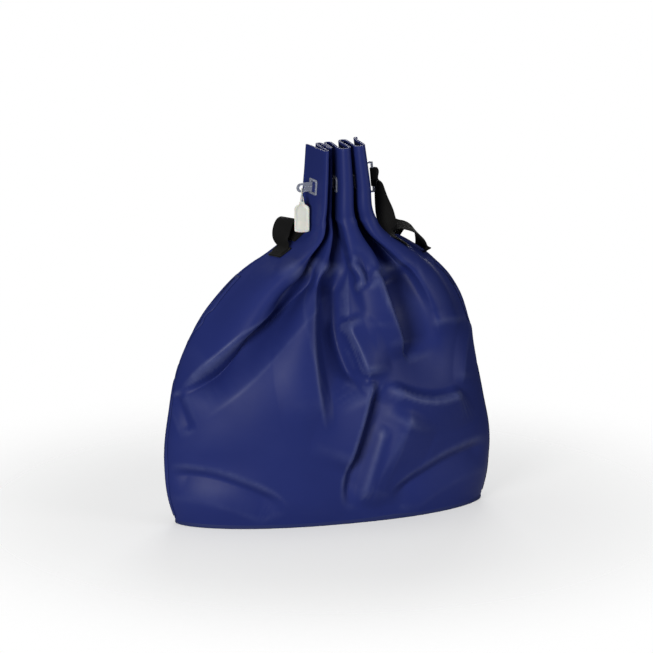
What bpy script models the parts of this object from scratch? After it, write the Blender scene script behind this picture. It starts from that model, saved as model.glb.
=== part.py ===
"""Gathered-neck carrying sack with a sealed closure blade.

Two coated sheets and a base make the sack. Its neck is folded to and fro, and one stiff
blade runs through a slot in every fold. The blade's nose carries a seal, and its other
end is a ring on a webbing tether. Metres, +Z up, +X to the right, -Y to the front.
"""

import math

import bmesh
import bpy
import numpy as np
from mathutils import Euler, Matrix, Vector

# --- driving dimensions ---------------------------------------------------------------
CLEARANCE = 0.0003  # gap left between pieces that touch
SHEET = 0.0012  # wall of the panels
BASE_MARGIN = 0.0010  # the base's edge stands this far outside the panels
WEBBING_WIDTH = 0.025
WEBBING_THICKNESS = 0.0016
HALF_WIDTH_SHARE = 0.0255  # half the webbing's width as a share of a panel's row
SEWN_LENGTH = 0.0115  # of each handle end that is stitched down
NECK_TOP = 0.508  # height of the mouth above the floor

# The sack from the floor up: height, left edge, right edge, half depth of the belly,
# reach of the folds to front and back, and how far the sheet is gathered (0 to 1).
STATIONS = np.array(
    (
        (0.0020, -0.2120, 0.2150, 0.0710, 0.0000, 0.00),
        (0.0300, -0.2210, 0.2225, 0.0800, 0.0000, 0.00),
        (0.0850, -0.2270, 0.2270, 0.0885, 0.0000, 0.00),
        (0.1500, -0.2210, 0.2170, 0.0900, 0.0000, 0.00),
        (0.2050, -0.2100, 0.2060, 0.0850, 0.0020, 0.04),
        (0.2500, -0.1900, 0.1970, 0.0760, 0.0050, 0.12),
        (0.2950, -0.1590, 0.1800, 0.0620, 0.0100, 0.28),
        (0.3350, -0.1150, 0.1480, 0.0440, 0.0160, 0.52),
        (0.3620, -0.0700, 0.1120, 0.0270, 0.0215, 0.78),
        (0.3850, -0.0380, 0.0765, 0.0110, 0.0260, 0.94),
        (0.4100, -0.0290, 0.0600, 0.0000, 0.0285, 1.00),
        (0.4500, -0.0245, 0.0540, 0.0000, 0.0290, 1.00),
        (NECK_TOP, -0.0210, 0.0455, 0.0000, 0.0290, 1.00),
    )
)
# The folds of the neck, as shares of its width: back and front edges by turns.
FOLD_EDGES = np.array((0.0, 0.150, 0.232, 0.345, 0.43, 0.54, 0.69, 0.865, 1.0))
# Half width of each fold's round edge, as a share of the room between it and the next
FOLD_ROUNDING = np.array((0.16, 0.36, 0.36, 0.36, 0.36, 0.36, 0.36, 0.24))
FINE = 1400  # points of the curve that a row is read from
PANEL_GAP = 0.0009  # between the two panels where the neck is pressed flat
BELLY_ROUNDING = 0.62  # power that turns the plan of the belly from a diamond to a box

# Closure blade: its length runs along X before it is tilted, measured from BLADE_CENTRE
BLADE_CENTRE = Vector((0.0120, 0.0060, 0.4500))
BLADE_TILT = math.radians(5.0)
BLADE_HEIGHT = 0.0125
BLADE_THICKNESS = 0.0024
BLADE_NOSE = -0.0545
BLADE_SHOULDER = 0.0425
NOSE_HOLE = -0.0475
NOSE_HOLE_RADIUS = 0.0034
RING_HEIGHT = 0.0430
RING_BAR = 0.0030  # width of the ring's bars
RING_SLOT = 0.0050  # room between the ring's two upright bars
SLIDE_TRAVEL = 0.0025

# Reinforced slots, which are longer than the blade is thick
SLOT_LENGTH = 0.0150
SLOT_HEIGHT = 0.0142
SLOT_SHIFT = 0.0020  # the slots and plates lie this far behind the neck's middle
PLATE_LENGTH = 0.0230
PLATE_HEIGHT = 0.0205
PLATE_THICKNESS = 0.0007

# Seal
SEAL_WIDTH = 0.0200
SEAL_HEIGHT = 0.0410
SEAL_THICKNESS = 0.0034
SEAL_HINGE = -0.0048  # the middle of the bridge of plastic that is left under the nose hole
SEAL_DROP = 0.0137  # from that bridge to the top of the seal's body
SEAL_TURN = math.radians(-17.0)
SEAL_LEAN = math.radians(17.0)  # the seal lies against the flare below the slots
SEAL_BEND = 0.0030  # below the bridge, where the shackle's legs are clear of the blade
SHACKLE_RADIUS = 0.0008
SHACKLE_SIDE = Vector((-0.0012, -0.0033, 0.0))  # from the bridge to the front leg
COLLAR_LEG = 0.0018  # from the middle of the collar to each leg
LOCK = Vector((0.0040, 0.0016, 0.0050))

COLOURS = {
    "vinyl": ((0.020, 0.035, 0.150), 0.45, 0.0),
    "webbing": ((0.012, 0.012, 0.013), 0.85, 0.0),
    "clear_plastic": ((0.35, 0.38, 0.48), 0.25, 0.0),
    "seal_plastic": ((0.62, 0.63, 0.58), 0.40, 0.0),
    "lock_plastic": ((0.10, 0.20, 0.45), 0.40, 0.0),
}


# --- the scene ------------------------------------------------------------------------
for old in list(bpy.data.objects):
    bpy.data.objects.remove(old)


def collection(name):
    made = bpy.data.collections.new(name)
    bpy.context.scene.collection.children.link(made)
    return made


PARTS = collection("neck_seal_sack")
CUTTERS = collection("cutters")


def material(name):
    colour, roughness, metallic = COLOURS[name]
    made = bpy.data.materials.get(name) or bpy.data.materials.new(name)
    made.use_nodes = True
    shader = made.node_tree.nodes["Principled BSDF"]
    shader.inputs["Base Color"].default_value = (*colour, 1.0)
    shader.inputs["Roughness"].default_value = roughness
    shader.inputs["Metallic"].default_value = metallic
    return made


def add(name, data, finish=None):
    made = bpy.data.objects.new(name, data)
    (PARTS if finish else CUTTERS).objects.link(made)
    if finish:
        made.data.materials.append(material(finish))
    else:
        made.hide_render = True
        made.display_type = "WIRE"
    return made


def mesh_from(name, bm):
    bmesh.ops.recalc_face_normals(bm, faces=bm.faces)
    data = bpy.data.meshes.new(name)
    bm.to_mesh(data)
    bm.free()
    return data


def grid_mesh(name, rows, closed=False):
    """A surface through rows of points, open at its edges unless the rows are closed."""
    bm = bmesh.new()
    verts = [[bm.verts.new(point) for point in row] for row in rows]
    count = len(verts[0])
    for below, above in zip(verts, verts[1:]):
        for k in range(count if closed else count - 1):
            after = (k + 1) % count
            bm.faces.new((below[k], below[after], above[after], above[k]))
    data = bpy.data.meshes.new(name)
    bm.to_mesh(data)
    bm.free()
    return data


def thicken(piece, thickness, offset=0.0):
    shell = piece.modifiers.new("thickness", "SOLIDIFY")
    shell.thickness = thickness
    shell.offset = offset
    return piece


def boolean(piece, cutter, operation="DIFFERENCE"):
    cut = piece.modifiers.new(cutter.name, "BOOLEAN")
    cut.operation = operation
    cut.solver = "EXACT"
    cut.object = cutter
    return piece


def block(name, low, high, finish=None):
    bm = bmesh.new()
    low, high = Vector(low), Vector(high)
    size = high - low
    place = Matrix.Translation((low + high) / 2) @ Matrix.Diagonal((*size, 1.0))
    bmesh.ops.create_cube(bm, size=1.0, matrix=place)
    return add(name, mesh_from(name, bm), finish)


def outline_mesh(name, points, half_thickness):
    """A flat plate from its outline: a filled 2D curve with a thickness, made a mesh."""
    curve = bpy.data.curves.new(name + "_outline", "CURVE")
    curve.dimensions = "2D"
    curve.fill_mode = "BOTH"
    curve.extrude = half_thickness
    line = curve.splines.new("POLY")
    line.points.add(len(points) - 1)
    for spot, (x, y) in zip(line.points, points):
        spot.co = (x, y, 0.0, 1.0)
    line.use_cyclic_u = True
    return curve_to_mesh(name, curve)


def curve_to_mesh(name, curve):
    source = bpy.data.objects.new(name + "_curve", curve)
    bpy.context.scene.collection.objects.link(source)
    evaluated = source.evaluated_get(bpy.context.evaluated_depsgraph_get())
    data = bpy.data.meshes.new_from_object(evaluated)
    bm = bmesh.new()
    bm.from_mesh(data)
    bmesh.ops.remove_doubles(bm, verts=bm.verts, dist=1e-6)
    bpy.data.objects.remove(source)
    bpy.data.meshes.remove(data)
    return mesh_from(name, bm)


# --- the sack's surface ---------------------------------------------------------------
def station(height):
    """Edges, depth, fold and gather at a height, read from smooth curves through STATIONS."""
    heights, values = STATIONS[:, 0], STATIONS[:, 1:]
    slopes = np.gradient(values, heights, axis=0)
    slopes[values == 0.0] = 0.0
    k = int(np.clip(np.searchsorted(heights, height) - 1, 0, len(heights) - 2))
    span = heights[k + 1] - heights[k]
    t = (height - heights[k]) / span
    start = (2 * t**3 - 3 * t**2 + 1) * values[k] + (t**3 - 2 * t**2 + t) * span * slopes[k]
    end = (3 * t**2 - 2 * t**3) * values[k + 1] + (t**3 - t**2) * span * slopes[k + 1]
    return start + end


def fold_line():
    """The neck's plan as control points: each one's share of the width and its reach."""
    across, reach = [], []
    gaps = np.diff(FOLD_EDGES)
    for k, edge in enumerate(FOLD_EDGES):
        side = 1.0 if k % 2 == 0 else -1.0
        before = FOLD_ROUNDING[k - 1] * gaps[k - 1] if k else 0.0
        after = FOLD_ROUNDING[k] * gaps[k] if k < len(gaps) else 0.0
        across += [edge - before, edge + after]
        reach += [side, side]
        if k < len(gaps):
            start = edge + after
            end = FOLD_EDGES[k + 1] - FOLD_ROUNDING[k] * gaps[k]
            for share in (0.3, 0.7):
                across.append(start + (end - start) * share)
                reach.append(side * (1.0 - 2.0 * share))
    return np.array(across), np.array(reach)


FOLD_ACROSS, FOLD_REACH = fold_line()


def b_spline(control, share):
    """Points on a cubic B-spline that starts and ends on its first and last points."""
    padded = np.vstack([control[:1]] * 2 + [control] + [control[-1:]] * 2)
    spans = len(padded) - 3
    position = np.clip(share * spans, 0.0, spans - 1e-9)
    first = position.astype(int)
    t = (position - first)[:, None]
    weights = (
        (1 - t) ** 3,
        3 * t**3 - 6 * t**2 + 4,
        -3 * t**3 + 3 * t**2 + 3 * t + 1,
        t**3,
    )
    return sum(weight * padded[first + k] for k, weight in enumerate(weights)) / 6


def heading(curve):
    """The direction along a curve at each of its points, and square to it on the left."""
    run = np.gradient(curve, axis=0)
    run /= np.linalg.norm(run, axis=1)[:, None]
    return run, np.column_stack((-run[:, 1], run[:, 0]))


def plan(side, height):
    """A panel's inner face at one height, as a fine curve from its left edge to its right.
    Side is -1 in front and 1 behind."""
    left, right, depth, reach, gather = station(height)
    spread = np.linspace(0.0, 1.0, len(FOLD_ACROSS))
    belly = 0.6 * spread + 0.2 * (1.0 - np.cos(math.pi * spread))
    across = belly + (FOLD_ACROSS - belly) * gather
    control = np.column_stack((left + (right - left) * across, reach * FOLD_REACH))
    centre = b_spline(control, np.linspace(0.0, 1.0, FINE + 1))
    turn = float(np.clip((0.0035 - depth) / 0.0030, 0.0, 1.0))
    away = heading(centre)[1] * turn + np.array((0.0, 1.0)) * (1.0 - turn)
    away /= np.linalg.norm(away, axis=1)[:, None]
    swell = np.clip((centre[:, 0] - left) / (right - left), 0.0, 1.0) * 2.0 - 1.0
    swell = np.clip(1.0 - np.abs(swell) ** 2.2, 0.0, 1.0) ** BELLY_ROUNDING
    return centre + side * away * (PANEL_GAP / 2 + depth * swell)[:, None]


def skin(side, height, shares, lift=0.0):
    """Points across one panel at a height, lift outside the panel's inner face."""
    curve = plan(side, height)
    flat = curve + side * heading(curve)[1] * lift
    fine = np.linspace(0.0, 1.0, FINE + 1)
    across = [np.interp(shares, fine, flat[:, axis]) for axis in (0, 1)]
    return [Vector((x, y, height)) for x, y in zip(*across)]


def panel_heights():
    """A row at each station, and one between each two where the shoulders turn in."""
    heights = [row[0] for row in STATIONS]
    between = [(a + b) / 2 for a, b in zip(heights, heights[1:]) if 0.3 < a < 0.4]
    return sorted(heights + between)


def panel(name, side):
    shares = np.linspace(0.0, 1.0, 2 * (len(FOLD_ACROSS) + 1) + 1)
    rows = [skin(side, height, shares) for height in panel_heights()]
    piece = add(name, grid_mesh(name, rows), "vinyl")
    return thicken(piece, SHEET, 1.0 if side < 0 else -1.0)


front_panel = panel("front_panel", -1)
back_panel = panel("back_panel", 1)


# --- base -----------------------------------------------------------------------------
def base_outline():
    """The plan of the sack's foot, a little outside the two panels that stand on it."""
    shares = np.linspace(0.0, 1.0, 33)
    foot = STATIONS[0][0]
    front = skin(-1, foot, shares, SHEET + BASE_MARGIN)
    back = skin(1, foot, shares, SHEET + BASE_MARGIN)
    return [(p.x, p.y) for p in front + back[::-1]]


base_panel = add("base_panel", outline_mesh("base_panel", base_outline(), SHEET / 2), "vinyl")
base_panel.location.z = SHEET / 2


# --- slots and their plates -----------------------------------------------------------
def sheet_point(side, share, height):
    """A point on a panel's inner face, between the rows that the panel is made from."""
    above = next(h for h in panel_heights() if h >= height)
    below = max(h for h in panel_heights() if h < above)
    high = skin(side, above, np.array((share,)))[0]
    low = skin(side, below, np.array((share,)))[0]
    return low.lerp(high, (height - below) / (above - below))


def seat(side, share, height, lift):
    """A frame on a panel's outer face: X along the row, Y up the sheet, Z straight out."""
    middle = sheet_point(side, share, height)
    along = sheet_point(side, share + 0.006, height) - sheet_point(side, share - 0.006, height)
    along.normalize()
    climb = sheet_point(side, share, height + 0.004) - sheet_point(side, share, height - 0.004)
    out = along.cross(climb).normalized() * -side
    up = out.cross(along)
    frame = Matrix((along, up, out)).transposed().to_4x4()
    frame.translation = middle + out * (SHEET + lift)
    return frame


slot_cutter = block(
    "slot_cutter",
    (-0.08, SLOT_SHIFT - SLOT_LENGTH / 2 - BLADE_CENTRE.y, -SLOT_HEIGHT / 2),
    (0.08, SLOT_SHIFT + SLOT_LENGTH / 2 - BLADE_CENTRE.y, SLOT_HEIGHT / 2),
)
slot_cutter.location = BLADE_CENTRE
slot_cutter.rotation_euler = (0.0, -BLADE_TILT, 0.0)
boolean(front_panel, slot_cutter)
boolean(back_panel, slot_cutter)


def slot_plate(name, side, layer):
    """A stiff frame welded round one slot. The layer is counted from the left seam."""
    share = (4 * layer + 3.5) / (len(FOLD_ACROSS) + 1)
    across = sheet_point(side, share, BLADE_CENTRE.z).x - BLADE_CENTRE.x
    height = BLADE_CENTRE.z + across * math.tan(BLADE_TILT)
    frame = seat(side, share, height, 2 * CLEARANCE + PLATE_THICKNESS / 2)
    shift = SLOT_SHIFT * (1.0 if frame.col[0].y > 0 else -1.0)
    half = Vector((PLATE_LENGTH, PLATE_HEIGHT, PLATE_THICKNESS)) / 2
    plate = block(name, Vector((shift, 0, 0)) - half, Vector((shift, 0, 0)) + half, "clear_plastic")
    plate.matrix_world = frame
    return boolean(plate, slot_cutter)


for layer in range(len(FOLD_EDGES) - 1):
    slot_plate(f"slot_plate_front_{layer + 1}", -1, layer)
    slot_plate(f"slot_plate_back_{layer + 1}", 1, layer)


# --- closure blade --------------------------------------------------------------------
def blade_outline():
    """Round nose, straight blade, then the square shoulder and outside of the ring."""
    radius = BLADE_HEIGHT / 2
    arc = [math.radians(a) for a in range(90, 271, 20)]
    nose = [(BLADE_NOSE + radius + radius * math.cos(a), radius * math.sin(a)) for a in arc]
    end = BLADE_SHOULDER + 2 * RING_BAR + RING_SLOT
    ring = [
        (BLADE_SHOULDER, -radius),
        (BLADE_SHOULDER, -RING_HEIGHT / 2),
        (end, -RING_HEIGHT / 2),
        (end, RING_HEIGHT / 2),
        (BLADE_SHOULDER, RING_HEIGHT / 2),
        (BLADE_SHOULDER, radius),
    ]
    return nose + ring


def on_blade(piece):
    """Stand a plate drawn in the XY plane upright in the blade's place."""
    place = Matrix.Rotation(-BLADE_TILT, 4, "Y") @ Matrix.Rotation(math.radians(90), 4, "X")
    piece.matrix_world = Matrix.Translation(BLADE_CENTRE) @ place
    return piece


blade_mesh = outline_mesh("closure_blade", blade_outline(), BLADE_THICKNESS / 2)
closure_blade = on_blade(add("closure_blade", blade_mesh, "clear_plastic"))
ring_cutter = block(
    "ring_cutter",
    (BLADE_SHOULDER + RING_BAR, RING_BAR - RING_HEIGHT / 2, -0.01),
    (BLADE_SHOULDER + RING_BAR + RING_SLOT, RING_HEIGHT / 2 - RING_BAR, 0.01),
)
boolean(closure_blade, on_blade(ring_cutter))
bm = bmesh.new()
bmesh.ops.create_cone(
    bm,
    cap_ends=True,
    segments=16,
    radius1=NOSE_HOLE_RADIUS,
    radius2=NOSE_HOLE_RADIUS,
    depth=0.02,
    matrix=Matrix.Translation((NOSE_HOLE, 0.0, 0.0)),
)
hole_cutter = on_blade(add("hole_cutter", mesh_from("hole_cutter", bm)))
boolean(closure_blade, hole_cutter)


# --- webbing --------------------------------------------------------------------------
def ribbon(name, stops, finish="webbing", samples=14):
    """A strap through stops of (middle, direction of its width), as a flat ribbon."""
    middles = b_spline(np.array([tuple(m) for m, _ in stops]), np.linspace(0, 1, samples))
    widths = b_spline(np.array([tuple(w) for _, w in stops]), np.linspace(0, 1, samples))
    rows = []
    for middle, width in zip(middles, widths):
        half = Vector(width).normalized() * WEBBING_WIDTH / 2
        rows.append([Vector(middle) - half, Vector(middle), Vector(middle) + half])
    return thicken(add(name, grid_mesh(name, rows), finish), WEBBING_THICKNESS)


def sewn(share, height, side=-1):
    """A stop where a strap lies flat on a panel, its width along the row."""
    frame = seat(side, share, height, 3 * CLEARANCE + WEBBING_THICKNESS / 2)
    return frame.translation, frame.col[0].to_3d()


def blade_point(x, y, z):
    """A point given along, behind and above the tilted blade."""
    return BLADE_CENTRE + Matrix.Rotation(-BLADE_TILT, 3, "Y") @ Vector((x, y, z))


SLEEVE_INSIDE = BLADE_SHOULDER + RING_BAR + RING_SLOT - CLEARANCE - WEBBING_THICKNESS / 2
SLEEVE_OUTSIDE = SLEEVE_INSIDE + RING_BAR + SLIDE_TRAVEL + 2 * CLEARANCE + WEBBING_THICKNESS


def sleeve_mesh():
    """The tether's end, sewn into a loose loop round the ring's outer bar."""
    middle = (SLEEVE_INSIDE + SLEEVE_OUTSIDE) / 2
    reach = (SLEEVE_OUTSIDE - SLEEVE_INSIDE) / 2
    deep = BLADE_THICKNESS / 2 + CLEARANCE + WEBBING_THICKNESS / 2
    rows = []
    for z in (-WEBBING_WIDTH / 2, WEBBING_WIDTH / 2):
        row = []
        for k in range(16):
            turn = 2 * math.pi * (k + 0.5) / 16
            x = max(-1.0, min(1.0, 1.35 * math.cos(turn)))
            y = max(-1.0, min(1.0, 1.35 * math.sin(turn)))
            row.append(blade_point(middle + reach * x, deep * y, z))
        rows.append(row)
    return grid_mesh("tether_strap", rows, closed=True)


tether_strap = thicken(add("tether_strap", sleeve_mesh(), "webbing"), WEBBING_THICKNESS)
tether_seat = sewn(0.885, 0.374)
strap_stops = [
    (blade_point(SLEEVE_OUTSIDE, 0.0, -0.0050), Vector((0.15, -1.0, 0.0))),
    (blade_point(SLEEVE_OUTSIDE + 0.0004, 0.0, -0.0130), Vector((0.20, -1.0, 0.0))),
    (Vector((0.0742, 0.0000, 0.4210)), Vector((0.50, -0.9, -0.1))),
    (Vector((0.0772, -0.0090, 0.4040)), Vector((0.85, -0.5, -0.2))),
    (Vector((0.0780, -0.0160, 0.3900)), Vector((0.90, -0.2, -0.2))),
    tether_seat,
    sewn(0.885, 0.368),
    sewn(0.885, 0.362),
]
tether_run = ribbon("tether_run", strap_stops, finish=None, samples=22)
boolean(tether_strap, tether_run, "UNION")


def patch(name, side, shares, heights, lift, finish, thickness):
    """A piece that follows a panel; its middle is lift above the panel's face."""
    rows = [
        [seat(side, share, height, lift).translation for share in np.linspace(*shares, 9)]
        for height in np.linspace(*heights, 6)
    ]
    return thicken(add(name, grid_mesh(name, rows), finish), thickness)


def handle(name, side, upper, lower, stops):
    """A carrying handle: a free arch between two ends that are sewn flat on the sack."""
    lift = 2 * CLEARANCE + WEBBING_THICKNESS / 2
    for end, (share, height) in (("upper", upper), ("lower", lower)):
        shares = (share - HALF_WIDTH_SHARE, share + HALF_WIDTH_SHARE)
        heights = (height - SEWN_LENGTH, height)
        patch(f"{name}_{end}_end", side, shares, heights, lift, "webbing", WEBBING_THICKNESS)
    arch = ribbon(name, stops, samples=20)
    pivot = stops[0][0]
    arch.data.transform(Matrix.Translation(-pivot))
    arch.location = pivot
    return arch


left_stops = [
    (Vector((-0.0405, 0.0200, 0.3905)), Vector((0.36, -0.93, 0.00))),
    (Vector((-0.0445, 0.0205, 0.4000)), Vector((0.40, -0.90, 0.00))),
    (Vector((-0.0515, 0.0170, 0.4035)), Vector((0.60, -0.80, 0.00))),
    (Vector((-0.0595, 0.0130, 0.3995)), Vector((0.80, -0.58, 0.00))),
    (Vector((-0.0650, 0.0110, 0.3900)), Vector((0.85, -0.50, 0.00))),
    (Vector((-0.0660, 0.0090, 0.3810)), Vector((0.70, -0.68, 0.00))),
    (Vector((-0.0635, 0.0065, 0.3745)), Vector((0.40, -0.90, 0.00))),
]
left_handle = handle("left_handle", -1, (0.050, 0.3845), (0.075, 0.3660), left_stops)
right_stops = [
    (Vector((0.0955, 0.0245, 0.3800)), Vector((0.45, -0.88, 0.00))),
    (Vector((0.1000, 0.0190, 0.3840)), Vector((0.20, -0.95, -0.20))),
    (Vector((0.1080, 0.0160, 0.3845)), Vector((0.00, -1.00, -0.35))),
    (Vector((0.1190, 0.0150, 0.3810)), Vector((0.00, -1.00, -0.35))),
    (Vector((0.1290, 0.0160, 0.3735)), Vector((0.10, -1.00, -0.30))),
    (Vector((0.1360, 0.0190, 0.3630)), Vector((0.30, -0.95, -0.20))),
    (Vector((0.1390, 0.0235, 0.3525)), Vector((0.40, -0.90, -0.10))),
]
right_handle = handle("right_handle", 1, (0.962, 0.3740), (0.965, 0.3440), right_stops)


def backing(name, side, shares, heights):
    """A patch of sheet inside the sack that spreads the pull of the stitches."""
    return patch(name, side, shares, heights, -SHEET * 1.5 - 3 * CLEARANCE, "vinyl", SHEET)


backing("left_handle_backing", -1, (0.045, 0.110), (0.335, 0.360))
backing("tether_backing", -1, (0.852, 0.898), (0.342, 0.368))
backing("right_handle_backing", 1, (0.905, 0.958), (0.325, 0.358))


# --- seal -----------------------------------------------------------------------------
pivot = bpy.data.objects.new("seal_pivot", None)
CUTTERS.objects.link(pivot)
pivot.location = blade_point(NOSE_HOLE, 0.0, SEAL_HINGE)
lean = Euler((-SEAL_LEAN, 0.0, SEAL_TURN)).to_matrix()
hang = bpy.data.objects.new("seal_hang", None)
CUTTERS.objects.link(hang)
hang.parent = pivot
hang.location = lean @ Vector((0.0, 0.0, SEAL_BEND)) - Vector((0.0, 0.0, SEAL_BEND))
hang.rotation_euler = lean.to_euler()
UPRIGHT = Matrix.Rotation(math.radians(90), 4, "X")


def hung(piece):
    """Hang a piece that is drawn with the bridge at its origin and its face to -Y."""
    piece.parent = hang
    return piece


def seal_outline():
    """Collar, sloping shoulders, straight sides and a slightly bowed foot."""
    half, foot = SEAL_WIDTH / 2, -SEAL_DROP - SEAL_HEIGHT
    right = [
        (0.0032, -SEAL_DROP),
        (0.0036, -SEAL_DROP - 0.0028),
        (0.0062, -SEAL_DROP - 0.0045),
        (half - 0.0012, -SEAL_DROP - 0.0068),
        (half - 0.0002, -SEAL_DROP - 0.0092),
        (half, foot + 0.0036),
        (half - 0.0004, foot + 0.0022),
        (half - 0.0018, foot + 0.0010),
        (0.0045, foot + 0.0002),
    ]
    return [(x, y) for x, y in right] + [(0.0, foot)] + [(-x, y) for x, y in right[::-1]]


seal_mesh = outline_mesh("seal_body", seal_outline(), SEAL_THICKNESS / 2)
seal_mesh.transform(UPRIGHT)
seal_body = hung(add("seal_body", seal_mesh, "seal_plastic"))
seal_top = -SEAL_DROP - 0.0105
seal_foot = -SEAL_DROP - SEAL_HEIGHT + 0.0032
for name, face in (("front_recess", -1), ("back_recess", 1)):
    near, far = sorted((face * (SEAL_THICKNESS / 2 - 0.0005), face * SEAL_THICKNESS))
    low = (0.0018 - SEAL_WIDTH / 2, near, seal_foot)
    high = (SEAL_WIDTH / 2 - 0.0018, far, seal_top)
    boolean(seal_body, hung(block(name, low, high)))
lock_middle = Vector((0.0, SEAL_THICKNESS / 2 - LOCK.y / 2, -SEAL_DROP - 0.0068))
pocket = Vector((LOCK.x / 2 + CLEARANCE, LOCK.y / 2 + CLEARANCE, LOCK.z / 2 + CLEARANCE))
boolean(seal_body, hung(block("lock_pocket", lock_middle - pocket, lock_middle + pocket)))
hung(block("seal_lock_insert", lock_middle - LOCK / 2, lock_middle + LOCK / 2, "lock_plastic"))


def shackle_route():
    """Up from the collar in front of the blade, over its bridge, and down behind it."""
    bend = Vector((0.0, 0.0, -SEAL_BEND))
    collar = Vector((0.0, 0.0, CLEARANCE - SEAL_DROP))
    legs = []
    for side in (1.0, -1.0):
        foot = hang.location + lean @ (collar - side * Vector((COLLAR_LEG, 0.0, 0.0)))
        rise = foot + lean @ Vector((0.0, 0.0, 0.0025))
        control = [foot, rise, bend + SHACKLE_SIDE * side, SHACKLE_SIDE * side]
        legs.append([tuple(p) for p in b_spline(np.array(control), np.linspace(0, 1, 12))])
    arc = [math.pi * k / 10 for k in range(1, 10)]
    over = [
        tuple(SHACKLE_SIDE * math.cos(a) + Vector((0.0, 0.0, -SHACKLE_SIDE.y * math.sin(a))))
        for a in arc
    ]
    return legs[0] + over + legs[1][::-1]


def tube(name, points, radius):
    curve = bpy.data.curves.new(name, "CURVE")
    curve.dimensions = "3D"
    curve.bevel_depth = radius
    curve.bevel_resolution = 2
    curve.use_fill_caps = True
    line = curve.splines.new("POLY")
    line.points.add(len(points) - 1)
    for spot, point in zip(line.points, points):
        spot.co = (*point, 1.0)
    return curve


shackle_curve = tube("seal_shackle", shackle_route(), SHACKLE_RADIUS)
add("seal_shackle", shackle_curve, "seal_plastic").parent = pivot
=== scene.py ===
"""Gathered-neck sack of dark blue coated sheet, sealed by a blade and a hanging seal.

The sack is put together in the order it is made: the two sheets and the base, their
welds, the slot plates, the blade and its tether, the handles and their backings, the seal.
Metres, +Z up, -Y to the front.
"""

import math

import bmesh
import bpy
import numpy as np
from mathutils import Euler, Matrix, Vector, noise


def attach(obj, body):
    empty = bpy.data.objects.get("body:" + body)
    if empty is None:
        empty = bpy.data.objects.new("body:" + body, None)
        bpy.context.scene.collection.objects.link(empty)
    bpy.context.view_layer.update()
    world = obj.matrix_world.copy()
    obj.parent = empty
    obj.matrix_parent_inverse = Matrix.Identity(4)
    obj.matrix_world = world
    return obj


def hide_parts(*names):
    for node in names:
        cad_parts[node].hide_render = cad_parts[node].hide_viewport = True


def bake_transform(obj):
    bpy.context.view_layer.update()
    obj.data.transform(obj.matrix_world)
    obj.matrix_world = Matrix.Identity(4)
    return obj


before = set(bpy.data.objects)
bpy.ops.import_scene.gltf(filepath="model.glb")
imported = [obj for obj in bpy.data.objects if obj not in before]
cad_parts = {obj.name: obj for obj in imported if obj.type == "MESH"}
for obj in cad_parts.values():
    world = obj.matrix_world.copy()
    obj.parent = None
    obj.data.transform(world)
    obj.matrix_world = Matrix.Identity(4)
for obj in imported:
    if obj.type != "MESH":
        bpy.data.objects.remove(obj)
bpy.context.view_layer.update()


# --- studio ---------------------------------------------------------------------------
# A pale floor that fades into white, a key lamp low at the front left, weaker ones at the
# right, above and behind, and a long lens from the front left and a little above.
VIEW_TURN = math.radians(-17.5)
VIEW_RISE = math.radians(14.0)
LENS = 260.0
SENSOR_WIDTH = 36.0
FRAME_WIDTH = 0.8815  # what the picture spans at the sack's middle
VIEW_CENTRE = (-0.0025, 0.2475)  # across and up, in the plane that faces the camera
FLOOR_REACH = 0.75  # where the floor has faded into the white behind it
FLOOR_SHARE = 0.5  # how much of the floor shows over the white under the sack

BACK = Vector(
    (
        math.sin(VIEW_TURN) * math.cos(VIEW_RISE),
        -math.cos(VIEW_TURN) * math.cos(VIEW_RISE),
        math.sin(VIEW_RISE),
    )
)
ACROSS = Vector((math.cos(VIEW_TURN), math.sin(VIEW_TURN), 0.0))
UPWARD = BACK.cross(ACROSS)


def placed(name, data):
    """An object made of this data, in the scene."""
    made = bpy.data.objects.new(name, data)
    bpy.context.scene.collection.objects.link(made)
    return made


def make_camera():
    data = bpy.data.cameras.new("camera")
    data.lens = LENS
    data.sensor_width = SENSOR_WIDTH
    made = placed("camera", data)
    target = ACROSS * VIEW_CENTRE[0] + UPWARD * VIEW_CENTRE[1]
    made.location = target + BACK * (FRAME_WIDTH * LENS / SENSOR_WIDTH)
    made.rotation_euler = (-BACK).to_track_quat("-Z", "Y").to_euler()
    bpy.context.scene.camera = made


def make_lamp(name, place, size, power):
    data = bpy.data.lights.new(name, "AREA")
    data.shape = "RECTANGLE"
    data.size, data.size_y = size
    data.energy = power
    made = placed(name, data)
    made.location = place
    aim = Vector((0.0, 0.0, 0.25)) - Vector(place)
    made.rotation_euler = aim.to_track_quat("-Z", "Y").to_euler()


def make_floor():
    bm = bmesh.new()
    bmesh.ops.create_grid(bm, x_segments=2, y_segments=2, size=FLOOR_REACH)
    data = bpy.data.meshes.new("floor")
    bm.to_mesh(data)
    bm.free()
    made = placed("floor", data)
    finish = bpy.data.materials.new("floor")
    finish.use_nodes = True
    shader = finish.node_tree.nodes["Principled BSDF"]
    shader.inputs["Base Color"].default_value = (0.93, 0.93, 0.93, 1.0)
    shader.inputs["Roughness"].default_value = 0.9
    nodes, links = finish.node_tree.nodes, finish.node_tree.links
    place = nodes.new("ShaderNodeTexCoord")
    far = nodes.new("ShaderNodeVectorMath")
    far.operation = "LENGTH"
    fade = nodes.new("ShaderNodeMapRange")
    fade.interpolation_type = "SMOOTHSTEP"
    near, clear = 0.35 * FLOOR_REACH, 0.9 * FLOOR_REACH
    limits = {"From Min": near, "From Max": clear, "To Min": FLOOR_SHARE, "To Max": 0.0}
    for name, value in limits.items():
        fade.inputs[name].default_value = value
    links.new(place.outputs["Object"], far.inputs[0])
    links.new(far.outputs["Value"], fade.inputs["Value"])
    links.new(fade.outputs["Result"], shader.inputs["Alpha"])
    data.materials.append(finish)


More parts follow.
